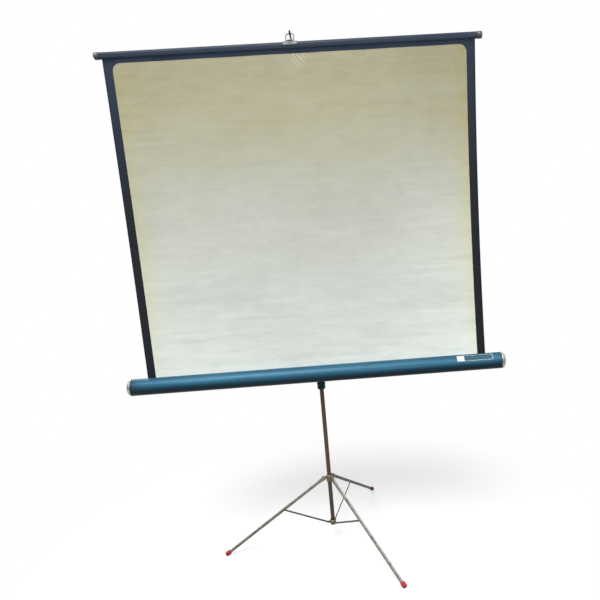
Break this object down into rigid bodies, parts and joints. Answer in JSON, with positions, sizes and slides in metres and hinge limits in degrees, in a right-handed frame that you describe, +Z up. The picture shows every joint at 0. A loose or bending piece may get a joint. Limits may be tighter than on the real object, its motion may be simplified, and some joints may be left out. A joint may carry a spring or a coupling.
{
  "type": "tripod projection screen",
  "caption": "Pull-up projection screen: a spring-roller case on a post with folding tripod legs, a sliding rod whose hook holds the dark top slat, and a white sheet with a dark border.",
  "frame": {"origin": "middle of the footprint box, on the floor", "axes": "+X to the right as seen by the viewer in front, +Y away from the viewer, +Z up the post"},
  "size_m": [1.189, 0.632, 1.6195],
  "materials": {
    "blue_paint": "gloss enamel",
    "bright_cap": "bright plated",
    "bronze_paint": "satin bronze",
    "plated_leg": "dull plated",
    "olive_casting": "dull cast",
    "dark_steel": "satin dark",
    "knob_plastic": "moulded",
    "navy_paint": "satin enamel",
    "plain_steel": "turned",
    "red_rubber": "moulded",
    "screen_cloth": "coated cloth with dark border",
    "tube_card": "lacquered tin",
    "dowel_wood": "plain"
  },
  "bodies": {
    "post": {"post_tube": "bronze_paint", "lower_hub": "olive_casting", "clamp_collar": "bronze_paint", "rod_bush": "plain_steel", "case_bracket": "blue_paint"},
    "collar": {"leg_collar": "olive_casting", "leg_pin_rear": "olive_casting", "leg_pin_left": "olive_casting", "leg_pin_right": "olive_casting"},
    "rod": {"extension_rod": "dark_steel", "rod_guide": "plain_steel", "rod_hook": "dark_steel"},
    "knob": {"lock_knob": "knob_plastic"},
    "case": {"case_tube": "blue_paint", "case_cap_left": "bright_cap", "case_cap_right": "bright_cap", "pivot_saddle": "blue_paint", "label_plate": "plain_steel", "spring_arbor": "plain_steel", "screen_fabric": "screen_cloth"},
    "roller": {"roller_tube": "tube_card", "roller_plug_left": "plain_steel", "roller_plug_right": "plain_steel", "arbor_bush": "plain_steel", "roller_spring": "plain_steel", "fabric_wrap": "screen_cloth"},
    "slat": {"slat_tube": "navy_paint", "slat_cap_left": "plated_leg", "slat_cap_right": "plated_leg", "hem_dowel": "dowel_wood", "bail_saddle": "bright_cap"},
    "bail": {"bail_wire": "plain_steel"},
    "leg_rear": {"leg_rear": "plated_leg", "foot_tip_rear": "red_rubber", "brace_pin_rear": "olive_casting"},
    "brace_rear": {"brace_rear": "dark_steel"},
    "leg_left": {"leg_left": "plated_leg", "foot_tip_left": "red_rubber", "brace_pin_left": "olive_casting"},
    "brace_left": {"brace_left": "dark_steel"},
    "leg_right": {"leg_right": "plated_leg", "foot_tip_right": "red_rubber", "brace_pin_right": "olive_casting"},
    "brace_right": {"brace_right": "dark_steel"}
  },
  "joints": [
    {"name": "collar_slide", "type": "slide", "parent": "post", "child": "collar", "axis": [0, 0, 1], "range_m": [0, 0.1679]},
    {"name": "leg_rear_fold", "type": "hinge", "parent": "collar", "child": "leg_rear", "pos_m": [0.00742, -0.0043, 0.227], "axis": [-0.9205, 0.3907, 0], "range_deg": [0, 57.05]},
    {"name": "brace_rear_fold", "type": "hinge", "parent": "leg_rear", "child": "brace_rear", "pos_m": [0.06276, 0.12605, 0.13384], "axis": [0.9205, -0.3907, 0], "range_deg": [0, 121.73]},
    {"name": "leg_left_fold", "type": "hinge", "parent": "collar", "child": "leg_left", "pos_m": [-0.01886, -0.02411, 0.227], "axis": [0.1219, -0.9925, 0], "range_deg": [0, 57.05]},
    {"name": "brace_left_fold", "type": "hinge", "parent": "leg_left", "child": "brace_left", "pos_m": [-0.15941, -0.04137, 0.13384], "axis": [-0.1219, 0.9925, 0], "range_deg": [0, 121.73]},
    {"name": "leg_right_fold", "type": "hinge", "parent": "collar", "child": "leg_right", "pos_m": [0.01143, -0.03697, 0.227], "axis": [0.7986, 0.6018, 0], "range_deg": [0, 57.05]},
    {"name": "brace_right_fold", "type": "hinge", "parent": "leg_right", "child": "brace_right", "pos_m": [0.09666, -0.15006, 0.13384], "axis": [-0.7986, -0.6018, 0], "range_deg": [0, 121.73]},
    {"name": "rod_slide", "type": "slide", "parent": "post", "child": "rod", "axis": [0, 0, 1], "range_m": [-0.42, 0]},
    {"name": "knob_turn", "type": "hinge", "parent": "post", "child": "knob", "pos_m": [0, -0.00179, 1.139], "axis": [0, 1, 0], "range_deg": [0, 270]},
    {"name": "case_pivot", "type": "hinge", "parent": "post", "child": "case", "pos_m": [0, -0.05179, 0.605], "axis": [0, -1, 0], "range_deg": [0, 90]},
    {"name": "slat_slide", "type": "slide", "parent": "case", "child": "slat", "axis": [0, 0, 1], "range_m": [-0.934, 0], "deforming": ["screen_fabric"]},
    {"name": "roller_turn", "type": "hinge", "parent": "case", "child": "roller", "pos_m": [0, -0.07979, 0.605], "axis": [1, 0, 0], "range_deg": [-5353, 0]},
    {"name": "bail_swing", "type": "hinge", "parent": "slat", "child": "bail", "pos_m": [0, -0.06914, 1.5876], "axis": [1, 0, 0], "range_deg": [0, 4]}
  ],
  "couplings": [
    {"joint": "leg_rear_fold", "follows": "collar_slide", "rad_per_m": 5.9252},
    {"joint": "brace_rear_fold", "follows": "collar_slide", "rad_per_m": 12.649},
    {"joint": "leg_left_fold", "follows": "collar_slide", "rad_per_m": 5.9252},
    {"joint": "brace_left_fold", "follows": "collar_slide", "rad_per_m": 12.649},
    {"joint": "leg_right_fold", "follows": "collar_slide", "rad_per_m": 5.9252},
    {"joint": "brace_right_fold", "follows": "collar_slide", "rad_per_m": 12.649},
    {"joint": "roller_turn", "follows": "slat_slide", "rad_per_m": 100}
  ]
}
